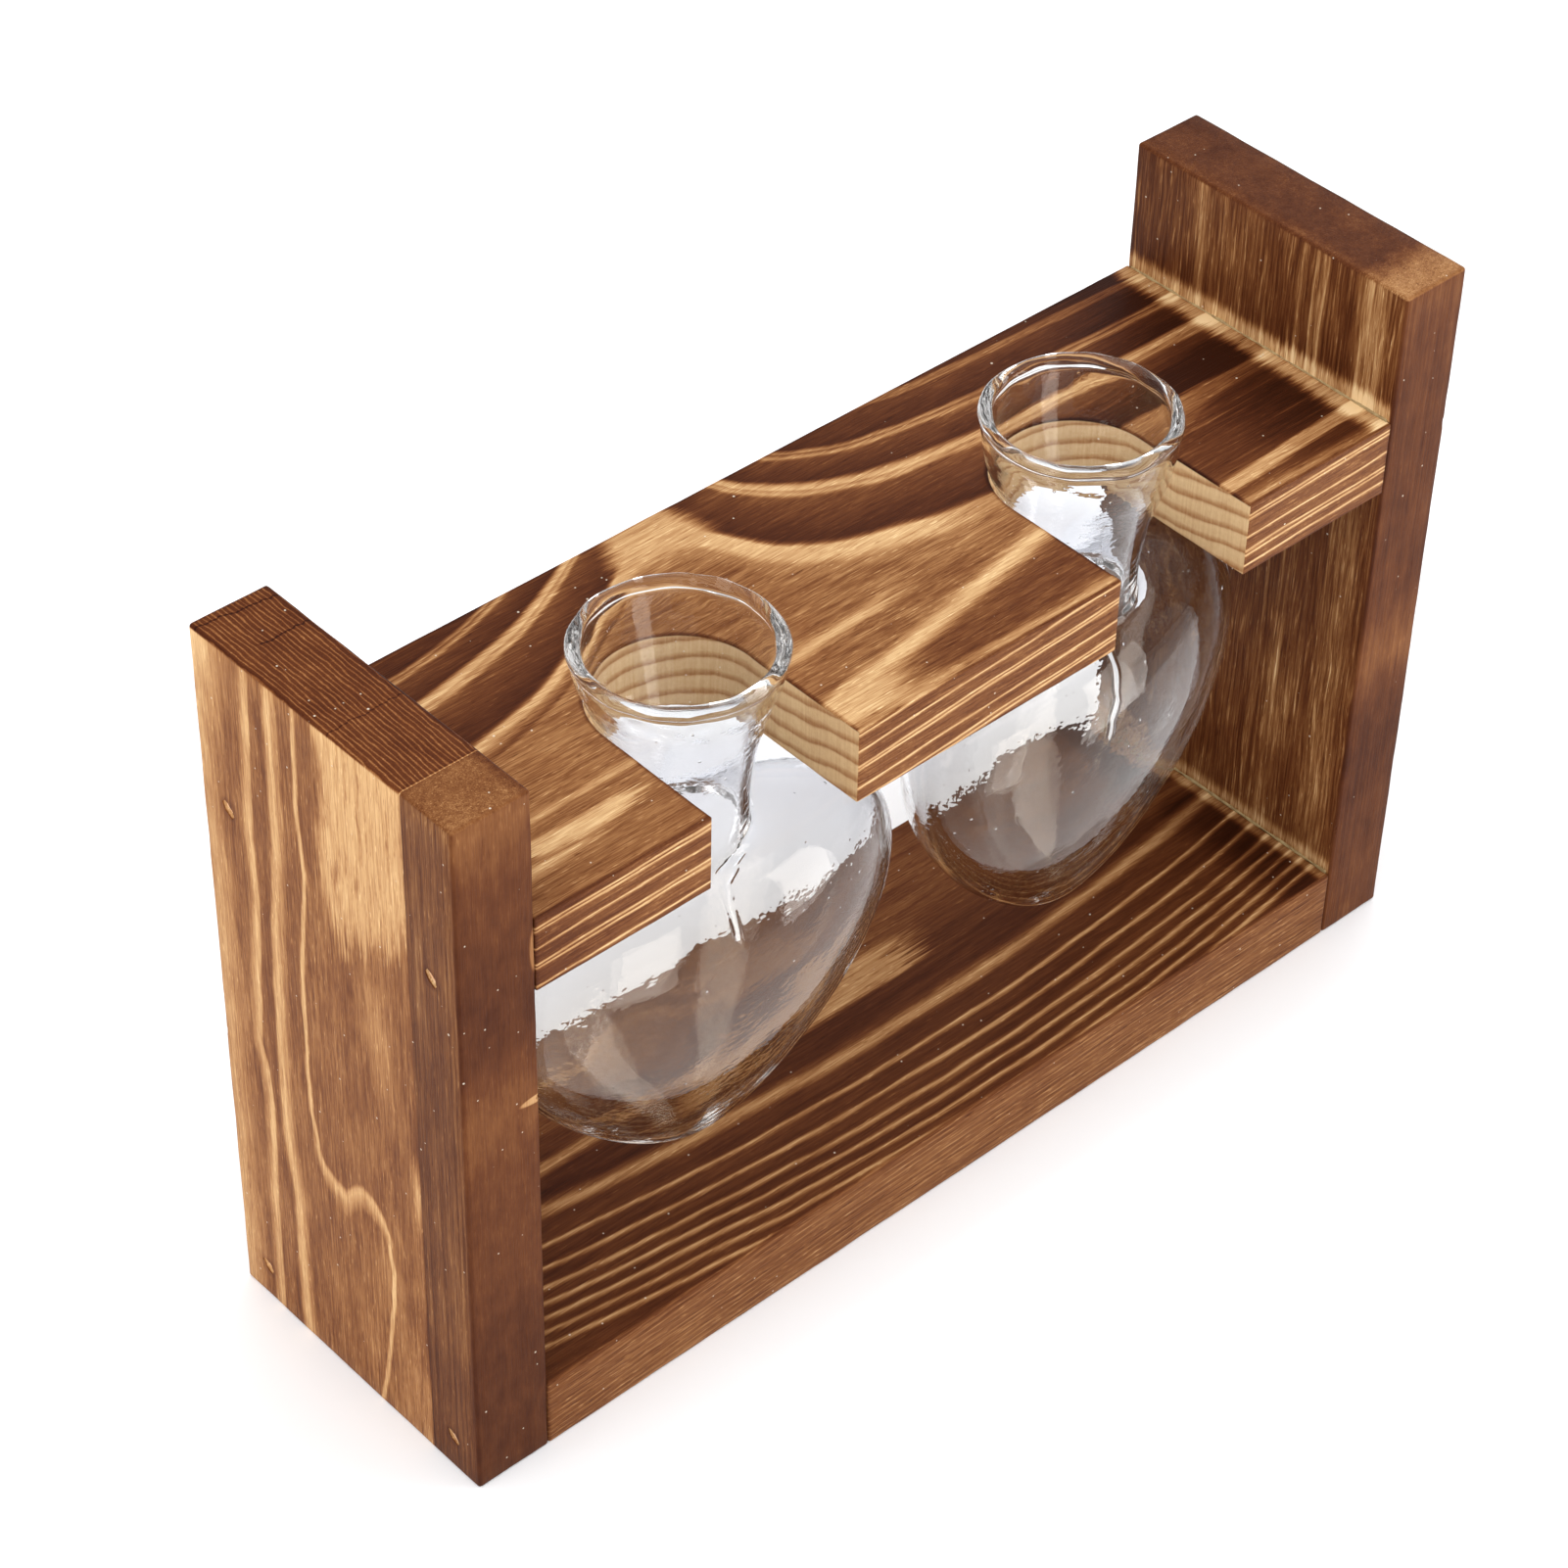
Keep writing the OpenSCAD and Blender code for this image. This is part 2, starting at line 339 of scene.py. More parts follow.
def arris(place, low, high):
    """Distance in millimetres from the nearest edge of a box, for a point on the box's faces."""
    gaps = []
    for part, start, end in zip(place, low, high):
        gaps.append((end - start) / 2 / MM - abs(part - (start + end) / 2 / MM))
    return gaps[0].at_most(gaps[1]).at_least(gaps[0].at_least(gaps[1]).at_most(gaps[2]))


def front_of(y):
    """1 on a board's front face, down to 0 behind its eased edge."""
    return y.rise(-31.2, -31.7)


def lines_at(places, half_width, level, between, lag=1.0):
    """Stops of a profile with a light line at each place, which fades more slowly on its far side."""
    stops = []
    for place in places:
        stops += [(place - half_width, between), (place, level), (place + half_width * lag, between)]
    return stops


base_low, base_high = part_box("base_board")
wood = Finish("torched_base")
x, y, z = place = wood.place()
along = x + END_X
back = HALF_DEPTH - y
# The rings sag across the top face. Their edges are ragged along the fibres.
sag = ((along - 107) / 82) ** 2
rag = wood.noise(along / 12, back / 0.5, z / 3, 2.0, 0.6, 5.0)
rings = back + (sag - 1) * 6.3 * (1 - sag * 0.06) + wood.noise(along / 30, back / 14, z / 14) * 0.6 + rag * 0.12
fade = wood.noise(along / 40, rings / 2.2, z / 9, 1.0, 0.5, 21.0)
DARK_BACK = [(-8, 0.26), (8, 0.3), (17, 0.25), (21, 0.16), (30.6, 0.13)]
WIDE_RING = [(31.8, 0.3), (33.0, 0.62), (33.8, 0.56), (35.4, 0.2)]
FRONT_RINGS = lines_at([40.0, 44.8, 48.8, 51.8, 54.7, 57.5, 60.2], 0.5, 0.68, 0.17, 2.2)
tone = rings.profile(DARK_BACK + WIDE_RING + FRONT_RINGS + [(66, 0.2)])
tone = tone + fade * 0.07
# Places that the flame passed quickly: a patch, two bands left of it and one right of it.
tip = along + rag * 9
torn_back = back + rag * 0.7
blob = tip.rise(52, 66) * tip.rise(124, 113) * torn_back.rise(21, 23.5) * torn_back.rise(31, 29.6)
band = tip.rise(70, 52) * ((back + rag * 0.5).hump(25.4, 2.2) * 0.9 + (back + rag * 0.4).hump(8.6, 1.6) * 0.7)
hot = tip.rise(160, 182) * (back + rag * 0.8).hump(27.5, 4)
tone = tone + blob.at_least(band) * (0.6 - tone) + hot * 0.26
tone = tone + (back + rag).rise(20, 12) * 0.1 * along.rise(120, 96)
# Dark, and then light beside the right panel, which kept the flame off.
tone = tone - along.rise(176, 185) * along.rise(190.2, 188.4) * 0.13 + along.rise(188.8, 190.5) * 0.26
edge = arris(place, base_low, base_high)
front_face = front_of(y)
# The front edge has fine rings along it.
front_rings = (z - along / 40 + ((along - 120) / 60) ** 2 * 0.8
               + wood.noise(along / 40, z / 6, 0.0, 2.0, 0.5, 8.0) * 0.7)
fine_lines = (front_rings / 1.25).fraction().profile([(0, 0), (0.55, 0.1), (0.8, 1), (1, 0)])
front_tone = 0.34 + fine_lines * 0.12 + (z.rise(4, 0) - z.rise(11, 15)) * 0.04
tone = tone * (1 - front_face) + front_tone * front_face - edge.rise(1.0, 0.1) * 0.06
base_wood = torched(wood, tone, x, y, z)
base = seen("base_board_visual", mesh_of("base_board_visual", sawn_board(base_low, base_high)), base_wood)
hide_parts("base_board")
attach(base, "stand")


# Shelf.
# The same softwood, torched before the two slots were sawn into it from the front, so that their
# walls show the pale wood with its orange winter rings. It is glued and nailed between the panels.

SLOT_X = 45 * MM
SLOT_Y = -6.5 * MM
SLOT_R = 15.5 * MM
SLOT_STEPS = 40
SLOT_EASE = 0.3 * MM
SLOT_CLEAR = 1 * MM  # how far the cuts of the grid keep away from a slot
SHELF_TOP = 120.5
shelf_low, shelf_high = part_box("shelf")

bm = bmesh.new()
outline = [bm.verts.new((px, py, shelf_low.z)) for px, py in (
    (shelf_low.x, shelf_low.y), (shelf_low.x, shelf_high.y), (shelf_high.x, shelf_high.y),
    (shelf_high.x, shelf_low.y))]
for middle_x in (SLOT_X, -SLOT_X):
    start = bm.verts.new((middle_x + SLOT_R, SLOT_Y, shelf_low.z))
    centre = Vector((middle_x, SLOT_Y, shelf_low.z))
    arc = [start]
    for step in range(1, SLOT_STEPS + 1):
        turn = Matrix.Rotation(math.pi * step / SLOT_STEPS, 3, "Z")
        arc.append(bm.verts.new(centre + turn @ (start.co - centre)))
    outline += [bm.verts.new((middle_x + SLOT_R, shelf_low.y, shelf_low.z))] + arc
    outline.append(bm.verts.new((middle_x - SLOT_R, shelf_low.y, shelf_low.z)))
bm.faces.new(outline)
slot_span = [(side * SLOT_X - SLOT_R - SLOT_CLEAR, side * SLOT_X + SLOT_R + SLOT_CLEAR) for side in (-1, 1)]
grid_cuts(bm, 0, shelf_low.x, shelf_high.x, slot_span)
grid_cuts(bm, 1, shelf_low.y, shelf_high.y, [(SLOT_Y - SLOT_CLEAR, SLOT_Y + SLOT_R + SLOT_CLEAR)])
raised = bmesh.ops.extrude_face_region(bm, geom=bm.faces[:])["geom"]
bmesh.ops.translate(bm, vec=(0, 0, shelf_high.z - shelf_low.z),
                    verts=[item for item in raised if isinstance(item, bmesh.types.BMVert)])
grid_cuts(bm, 2, shelf_low.z, shelf_high.z)
bmesh.ops.recalc_face_normals(bm, faces=bm.faces)
ease_edges(bm, SLOT_EASE)

wood = Finish("torched_shelf")
x, y, z = place = wood.place()
along = x + END_X
back = HALF_DEPTH - y
below = SHELF_TOP - z
# The rings arch round a place left of the middle. Dark wood with light rings lies behind, honey in front.
swirl = (along - 77.2 + 0.51 * back) / 22
peak = 29.5 / (1 + swirl * swirl) * (1 - back * 0.004)
rag = wood.noise(along / 14, back / 0.5, below / 0.5, 2.0, 0.6, 5.0)
rings = (back - along.rise(40, 140) * 3.7 + peak + wood.noise(along / 30, back / 14, below / 14) * 0.8
         + below * 0.3)
ARCHES = [(-6, 0.2), (0.4, 0.14), (0.8, 0.6), (1.3, 0.26), (1.7, 0.6), (2.3, 0.22), (8.6, 0.1), (9.2, 0.62),
          (9.8, 0.3), (10.4, 0.7), (11.2, 0.26), (16.4, 0.12), (17.4, 0.66), (18.4, 0.76), (19.0, 0.5),
          (19.5, 0.74), (20.6, 0.3), (26, 0.18), (30.6, 0.1)]
HONEY = [(31.4, 0.34), (32.0, 0.76), (35.0, 0.74), (36.6, 0.52), (39.5, 0.42), (100, 0.38)]
tone = (rings + rag * 0.16).profile(ARCHES + HONEY)
# The broad light ring thins to the left and fades to the right. The last arch has a blunt light top.
tip = along + rag * 5
thin_rings = rings + rag * 0.3
left_thin = along.rise(66, 52) * thin_rings.rise(33.2, 34.6) * thin_rings.rise(37.5, 36.2)
tone = tone - left_thin * 0.26
blunt = along + rag * 1.6
summit = (blunt + back * 0.5).rise(64.5, 70) * (blunt - back * 0.3).rise(83.5, 78.5) * back.rise(12, 7)
tone = tone + summit * (0.68 - tone)
warm_rings = rings + rag * 0.4
warm_fade = tip.rise(108, 128) * warm_rings.rise(30, 32) * warm_rings.rise(38, 35)
tone = tone - warm_fade * 0.2 + along.rise(70, 20) * (rings + rag).rise(36, 39) * 0.03
# The honey wood in front of the arches is mottled.
mottle = wood.noise(along / 9, back / 1.1, below / 3, 3.0, 0.65, 31.0)
broad = wood.noise(along / 26, back / 3.5, below / 5, 2.0, 0.6, 37.0)
middle_patch = (rings + rag * 1.4).rise(36, 40) * tip.rise(60, 70) * along.rise(150, 126)
tone = tone + middle_patch * (0.01 + mottle * 0.13 + broad * 0.05) + (1 - middle_patch) * mottle * 0.05
# Light flames and dark wedges run along and across it, torn along the fibres.
diagonal = back - 57.3 + (along - 66) * 0.19
streak = (diagonal + rag * 0.7).hump(0, 3.4) * tip.rise(158, 120) * along.rise(50, 64)
ragged = diagonal + rag * 0.6
corner = tip.rise(88, 72) * ragged.rise(-3.4, -1.4) * (back + rag * 0.4).rise(63, 61) * along.rise(40, 50)
wedge = ragged.rise(1.2, 3.2) * (tip + rag * 5).rise(78, 92) * (back + rag * 0.3).rise(62.5, 60.5)
front_tan = (back + rag * 0.3).rise(61, 63) * tip.rise(60, 80) * 0.2
long_tip = tip + rag * 3
small_tan = (long_tip.rise(62, 70) * long_tip.rise(104, 84)
             * (back + rag * 0.5 + (along - 80) * 0.05).hump(43, 2.4))
flame_mid = back - 52.4 + (along - 20) * (along - 20) * 0.006
left_blob = tip.rise(6, 11) * tip.rise(36, 24) * (flame_mid + rag * 0.5).hump(0, 3.6)
left_low = tip.rise(0, 8) * tip.rise(24, 14) * (back + rag * 0.4).hump(55.6, 1.6)
left_line = tip.rise(52, 34) * (back - 46.6 + along * 0.02 + rag * 0.4).hump(0, 1.3) * 0.7
right_band = (back - 58.0 + (along - 157) * 0.05 + rag * 0.5).hump(0, 2.6) * along.rise(140, 154)
light_parts = streak.at_least(corner).at_least(left_blob.rise(0.1, 0.7))
light_parts = light_parts.at_least(right_band.rise(0.1, 0.6) * 0.85)
light_parts = light_parts.at_least(left_low * 0.8).at_least(left_line).at_least(small_tan * 0.8)
tone = tone + light_parts * (0.78 - tone) - wedge * (1 - light_parts) * 0.13 + front_tan
# It darkens to the right and is light again beside the right panel, which kept the flame off.
right_dark = along.rise(120, 156) * back.rise(24, 30) * (back + rag * 0.6).rise(56, 53)
right_streak = wood.noise(along / 30, back / 0.8, below / 3, 2.0, 0.6, 43.0).rise(0.1, 0.9)
tone = tone - right_dark * (0.09 - right_streak * 0.2)
tone = tone - tip.rise(160, 184) * along.rise(190, 186) * 0.17
tone = tone + (along + rag * 1.5).rise(186.6, 190.0) * (0.46 + rag * 0.1)
edge = arris(place, shelf_low, shelf_high)
# The slots' rims are darker.
slot_x = abs(abs(x) - SLOT_X / MM)
slot_y = (y - SLOT_Y / MM).at_least(0)
slot_gap = (slot_x * slot_x + slot_y * slot_y) ** 0.5 - SLOT_R / MM
slot_rim = slot_gap.rise(0.9, 0.05) * below.rise(1, 0)
tone = tone - slot_rim * 0.22
# On the front edge the rings are lines that climb to the right.
climb = along.profile([(0, 0), (31, 0.8), (66, 2), (125, 5.8), (157, 7.2), (192, 8.2)])
front_rings = below + climb + wood.noise(along / 25, below / 4, 0.0, 1.0, 0.5, 14.0) * 0.35
FRONT_LINES = lines_at([2.1, 2.9, 6.2, 9.4, 10.2, 14.1, 17, 17.9, 20.3], 0.35, 0.88, 0.34, 1.5)
front_tone = front_rings.profile([(-1, 0.3)] + FRONT_LINES + [(24, 0.3)])
front_tone = (front_tone - along.rise(20, 2) * 0.1
              + wood.noise(along / 0.5, below / 0.5, 0.0, 1.0, 0.5, 3.0) * 0.04)
front_face = front_of(y)
tone = tone * (1 - front_face) + front_tone * front_face - edge.rise(1.0, 0.1) * 0.08
# The slots' walls are pale, with orange winter rings and saw marks.
sawn = slot_gap.rise(0.16, 0.04) * below.rise(0.2, 0.45)
to_front = (y + 12).rise(0, -24)
pale_rings = (below + to_front * 4.0 - 3.4 * (y + 9).rise(0, 26)
              + wood.noise(x / 6, y / 6, below / 3) * 0.45) / 3.7
winter = pale_rings.fraction().profile([(0, 0.1), (0.45, 0.2), (0.72, 0.9), (0.8, 1.0), (0.9, 0.2), (1, 0.1)])
saw_marks = wood.noise(x / 0.4, y / 0.4, below / 9, 2.0, 0.6, 5.0)
nap = wood.noise(x / 0.7, y / 0.7, below / 0.7, 2.0, 0.6, 15.0)
SAWN = [(0, srgb(216, 186, 142)), (0.5, srgb(185, 147, 104)), (1, srgb(146, 96, 56))]
pale = wood.node("ValToRGB", {"ramp": SAWN},
                 {0: winter * 0.7 + 0.16 + saw_marks * 0.15 + nap * 0.08 + below.rise(14.2, 15) * 0.3})
shelf_wood = torched(wood, tone, x, y, z, (sawn, pale))
shelf = seen("shelf_visual", mesh_of("shelf_visual", bm), shelf_wood)
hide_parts("shelf")
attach(shelf, "stand")


# Left end panel, rear stave.
# The wide stave of the left panel, torched lightly so that most of it stayed honey brown. The narrow
# stave is glued to its front edge, and both are nailed to the boards.

PANEL_TOP = 146.5
OUTER_X = 111
GLUE_LINE = -20
BRAD_Y = 25.4
BRAD_Z = (7.5, 113.0)
STAIN_R = 2.4


def top_of(z):
    """1 on a panel's top end grain, down to 0 below its eased edge."""
    return z.rise(145.8, 146.2)


def brad_stain(y, z):
    """1 around each of a panel's four brads."""
    across = abs(y) - BRAD_Y
    along = abs(z - sum(BRAD_Z) / 2) - (BRAD_Z[1] - BRAD_Z[0]) / 2
    return ((across / STAIN_R) ** 2 + (along / STAIN_R) ** 2).rise(1.2, 0.4)


rear_low, rear_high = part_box("left_panel_rear_stave")
wood = Finish("torched_rear_stave")
x, y, z = place = wood.place()
back = HALF_DEPTH - y
down = PANEL_TOP - z
rag = wood.noise(down / 12, back / 0.5, x / 0.5, 2.0, 0.6, 4.0)
wave = wood.noise(down / 9, back / 14, x / 14) * 0.25 + rag * 0.12
tone = (back + wave * 3).profile([(-2, 0.76), (2.0, 0.72), (4.6, 0.58), (7.5, 0.43), (30, 0.44), (60, 0.45)])
# The three light rings run down the face: how far from the back each is at each place below the top.
FIRST_RING = [(0, 13.9), (14, 13.2), (35, 12.0), (50, 12.2), (66, 10.9), (82, 9.7), (87, 11.0), (95, 11.6),
              (106, 11.3), (122, 10.5), (147, 9.9)]
SECOND_RING = [(0, 19.5), (22, 19.2), (34, 18.8), (50, 17.2), (64, 16.4), (80, 15.9), (98, 15.8), (105, 16.4),
               (112, 17.5), (134, 17.2), (147, 17.5)]
THIRD_RING = [(0, 25.9), (20, 25.2), (34, 26.0), (50, 24.3), (64, 23.2), (88, 23.2), (95, 24.3), (101, 25.0),
              (102, 42.4), (110, 43.3), (118, 43.0), (126, 41.8), (137, 40.0), (147, 38.0)]
# The third one turns across the face in between, so this gives its place below the top.
KINK = [(23, 94), (26, 99.6), (28.6, 101.4), (31.6, 102.2), (33.6, 99.4), (36, 97.2), (39, 97.6), (41.6, 100.2),
        (43.4, 104.5)]
first = back + wave - down.profile(FIRST_RING)
second = back + wave - down.profile(SECOND_RING)
third = back + wave - down.profile(THIRD_RING)
across_grain = down + wave * 3 - back.profile(KINK)
kink = across_grain.profile([(-2.2, 0), (-1.0, 0.85), (0, 1), (1.2, 0.8), (4.6, 0)])
kink = kink * back.rise(22.6, 24.4) * back.rise(44, 42.4)
light_lines = first.profile([(-2.3, 0), (-0.9, 0.6), (0, 1), (0.8, 0.8), (1.2, 0)])
light_lines = light_lines.at_least(second.profile([(-1.5, 0), (-0.8, 0.8), (0.3, 1), (1.3, 0.55), (3, 0)]))
third_line = third.profile([(-0.7, 0), (-0.3, 0.9), (0.3, 1), (0.8, 0)]) * (1 - down.hump(101, 4))
light_lines = light_lines.at_least(third_line).at_least(kink) * (1 - down.rise(6, 0) * 0.3)
tone = tone + light_lines * (0.82 - tone) - (second + 2.2).hump(0, 1.6) * 0.05
# The tone is cloudy, with a light patch high up in front, tan places lower down and a light sliver.
clouds = wood.noise(down / 14, back / 4, x / 6, 3.0, 0.6, 23.0)
tone = tone + clouds * 0.09 + (back + clouds * 2).rise(14, 4) * (down + clouds * 4).rise(22, 2) * 0.16
torn = down + rag * 9 + clouds * 7
patch = (torn + (back - 41).at_least(0) * 0.7).rise(45, 35) * (back + rag * 1.6 + clouds * 2).rise(29.2, 33.2)
holes = wood.noise(down / 8, back / 1.4, x / 3, 3.0, 0.65, 17.0).rise(0.75, 0.1) * 0.6 + 0.4
lower_tan = (back - 43 + clouds * 2).hump(0, 6) * torn.hump(58, 22) * 0.16
sliver = (back + rag * 0.3).rise(49.4, 50.9) * down.hump(86, 11)
foot = torn.rise(118, 146) * (back + rag).rise(40, 50) * 0.16 + back.hump(42, 8) * torn.hump(112, 12) * 0.08
tone = tone + patch * holes * (0.8 - tone) + lower_tan + sliver * 0.3 + foot + down.rise(8, 0) * 0.05
# The top end grain has curved rings and three cracks.
end_face = top_of(z)
end_rings = (x + OUTER_X + wood.noise(y / 9, x / 3, 0.0, 3.0, 0.6, 3.0) * 0.5
             + (y / 60) ** 2 * 2.4 - y / 40) / 0.86
end_lines = end_rings.fraction().profile([(0, 0), (0.5, 0.05), (0.66, 1), (0.8, 0.8), (0.93, 0), (1, 0)])
end_lines = end_lines * (0.27 + wood.noise(x / 1.5, y / 4, 0.0, 2.0, 0.6, 37.0) * 0.1) + 0.19
end_lines = end_lines + wood.noise(x / 5, y / 8, 0.0, 2.0, 0.5, 29.0) * 0.06 - x.rise(-98, -96) * 0.08
end_lines = end_lines + x.rise(-109.6, -111) * y.rise(16, -6) * 0.12
crack_y = y + wood.noise(x / 2.5, 0.0, 0.0, 2.0, 0.6, 19.0) * 0.8
cracks = (crack_y - 29.4 + (x + 103) * 0.12).hump(0, 0.3)
cracks = cracks.at_least(crack_y.hump(20.6, 0.3) * x.rise(-107, -105)).at_least(crack_y.hump(-2.5, 0.25) * 0.7)
tone = tone * (1 - end_face) + (end_lines - cracks * 0.26) * end_face
# The glue line is dark on the outer face and light on the end grain.
seam = abs(y - GLUE_LINE).rise(0.35, 0.05)
edge = arris(place, rear_low, rear_high)
tone = tone - edge.rise(1.0, 0.1) * 0.08 * (1 - seam) - seam * (0.12 - end_face * 0.5)
stain = brad_stain(y, z)
tone = tone - stain * 0.08 + stain * (x + OUTER_X).rise(0.1, 0.3) * 0.4
rear_wood = torched(wood, tone, z, y, x, quiet=end_face * 0.4, stain=(0.99, 0.89, 0.8, 1))

ROUGH_LENGTH = 0.7 * MM  # about the length of one bump on a pebble
ROUGH_SHARE = 0.3  # how high the bumps are, as a share of the pebble's radius
POCKET = (1.35, 3.4, 1.9)  # depth, length and width in millimetres
SHARP_DEGREES = 38  # the turn between two faces past which their edge isn't shaded smooth


def pebble(cutters, place, size, seed, twist=0.0):
    """Adds a rough pebble, in millimetres, to the shapes that are cut out of a board."""
    spot = (Matrix.Translation(Vector(place) * MM) @ Matrix.Rotation(twist, 4, "X")
            @ Matrix.Diagonal(Vector(size) * MM / 2).to_4x4())
    made = bmesh.ops.create_icosphere(cutters, subdivisions=3, radius=1.0, matrix=spot)
    for vertex in made["verts"]:
        rough = noise.noise(vertex.co / ROUGH_LENGTH + Vector((seed, 0, 0)))
        vertex.co += (vertex.co - spot.translation) * ROUGH_SHARE * rough


def brad_pockets(cutters, face_x, rows_y):
    """Adds the torn pocket over each brad head, on the panel face at that place."""
    for row_y in rows_y:
        for number, height in enumerate(BRAD_Z):
            pebble(cutters, (face_x, row_y, height), POCKET, row_y + number, math.radians(45))


def carved(name, board, cutters):
    """The board's mesh with the cutters' shapes taken out of it."""
    solid = bpy.data.objects.new(name, mesh_of(name, board))
    knife = bpy.data.objects.new(name + "_knife", mesh_of(name + "_knife", cutters))
    for item in (solid, knife):
        scene.collection.objects.link(item)
    cut = solid.modifiers.new("cut", "BOOLEAN")
    cut.operation = "DIFFERENCE"
    cut.solver = "EXACT"
    cut.object = knife
    bpy.context.view_layer.update()
    mesh = bpy.data.meshes.new_from_object(solid.evaluated_get(bpy.context.evaluated_depsgraph_get()))
    mesh.name = name
    bpy.data.objects.remove(solid)
    bpy.data.objects.remove(knife)
    mesh.shade_smooth()
    mesh.set_sharp_from_angle(angle=math.radians(SHARP_DEGREES))
    return mesh


def on_glue(edge):
    """Says whether an edge lies in the glued joint, where the staves stay square."""
    return all(abs(vertex.co.y - rear_low.y) < 0.01 * MM for vertex in edge.verts)


cutters = bmesh.new()
brad_pockets(cutters, -OUTER_X, [BRAD_Y])
pebble(cutters, (-END_X, 31.9, 131.0), (0.9, 0.8, 3.2), 1.0)
pebble(cutters, (-OUTER_X, 31.9, 60.0), (0.7, 0.9, 2.4), 2.0)
rear = seen("left_panel_rear_stave_visual", carved("left_panel_rear_stave_visual", sawn_board(
    rear_low, rear_high, on_glue), cutters), rear_wood)
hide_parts("left_panel_rear_stave")
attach(rear, "stand")


# Left end panel, front stave.
# The narrow stave, of straighter and darker wood, glued along the wide one and nailed to the boards. Its
# front edge was chipped in a few places after the torching, which bared pale wood.

front_low, front_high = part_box("left_panel_front_stave")
wood = Finish("torched_front_stave")
x, y, z = place = wood.place()
down = PANEL_TOP - z
fine = wood.noise(z / 90, y / 0.55, x / 0.55, 2.0, 0.6, 2.0)
flow = wood.noise(z / 20, y / 4, x / 4, 3.0, 0.6, 13.0)
outer_tone = (0.3 + fine * 0.13 + flow * 0.06 + down.rise(9, 0) * 0.12 + down.hump(30, 24) * 0.05
              - down.rise(112, 124) * 0.06)
front_face = front_of(y)
edge_tone = (0.24 + down.rise(14, 2) * 0.13 - down.hump(40, 26) * 0.08 + down.hump(62, 16) * 0.08
             - down.rise(100, 112) * 0.07 + wood.noise(z / 6, x / 3, 0.0, 3.0, 0.6, 6.0) * 0.07)
end_face = top_of(z)
end_tone = (0.38 + wood.noise(x / 1.2, y / 1.2, 0.0, 3.0, 0.6, 6.0) * 0.08 - x.rise(-99, -96) * 0.14
            + (y + 26).rise(0, -6) * 0.04)
tone = outer_tone * (1 - front_face) + edge_tone * front_face
tone = tone * (1 - end_face) + end_tone * end_face
tone = tone - arris(place, front_low, front_high).rise(1.0, 0.1) * 0.05
stain = brad_stain(y, z)
tone = tone - stain * 0.06 + stain * (x + OUTER_X).rise(0.1, 0.3) * 0.45
# Bare pale wood in and around two of the chips.
from_front = y + HALF_DEPTH
from_inner = x + END_X
bare = ((from_front / 2.2) ** 2 + ((down - 63.5) / 0.9) ** 2 + (from_inner / 4) ** 2).rise(1.2, 0.6)
bare_corner = ((from_front / 1.2) ** 2 + ((down - 32) / 5) ** 2 + (from_inner / 1.2) ** 2).rise(1.2, 0.6)
tone = tone + bare.at_least(bare_corner * 0.8) * 0.36
front_wood = torched(wood, tone, z, y, x, quiet=front_face * 0.6)
cutters = bmesh.new()
brad_pockets(cutters, -OUTER_X, [-BRAD_Y])
pebble(cutters, (-95.9, -32.1, 83.0), (1.8, 1.5, 1.1), 3.0)
pebble(cutters, (-95.9, -32.1, 114.5), (1.0, 1.1, 9.0), 4.0)
pebble(cutters, (-95.9, -32.1, 119.2), (0.9, 1.4, 2.2), 5.0)
pebble(cutters, (-95.8, -32.0, 41.0), (1.0, 0.9, 2.8), 6.0)
front = seen("left_panel_front_stave_visual", carved("left_panel_front_stave_visual", sawn_board(
    front_low, front_high, on_glue), cutters), front_wood)
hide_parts("left_panel_front_stave")
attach(front, "stand")


# Right end panel.
# One board of the same softwood, torched dark, with narrow upright rings. It is glued and nailed to the
# ends of the shelf and the base board, and lighter wood stayed beside both where they kept the flame off.

right_low, right_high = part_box("right_panel")
wood = Finish("torched_right_panel")
x, y, z = place = wood.place()
back = HALF_DEPTH - y
down = PANEL_TOP - z
rag = wood.noise(down / 14, back / 0.5, x / 0.5, 2.0, 0.6, 4.0)
wave = wood.noise(down / 30, back / 9, x / 9) * 0.9
rings = back + wave + rag * 0.4
fine = wood.noise(z / 22, (back + wave) / 0.5, x / 3, 2.0, 0.6, 9.0)
lick = wood.noise(z / 14, (back + wave) / 1.1, x / 4, 3.0, 0.6, 27.0)
UPRIGHT_RINGS = [(-2, 0.14), (6, 0.2), (15, 0.24), (16, 0.5), (17.4, 0.44), (18, 0.26), (24, 0.3), (32, 0.24),
                 (39.6, 0.2), (40.4, 0.5), (41.4, 0.22), (43.2, 0.24), (43.8, 0.58), (44.6, 0.28), (45.4, 0.6),
                 (46.4, 0.24), (52.6, 0.18), (54.4, 0.44), (56.4, 0.6), (59.5, 0.58), (61, 0.3), (66, 0.24)]
stripes = rings.profile(UPRIGHT_RINGS)
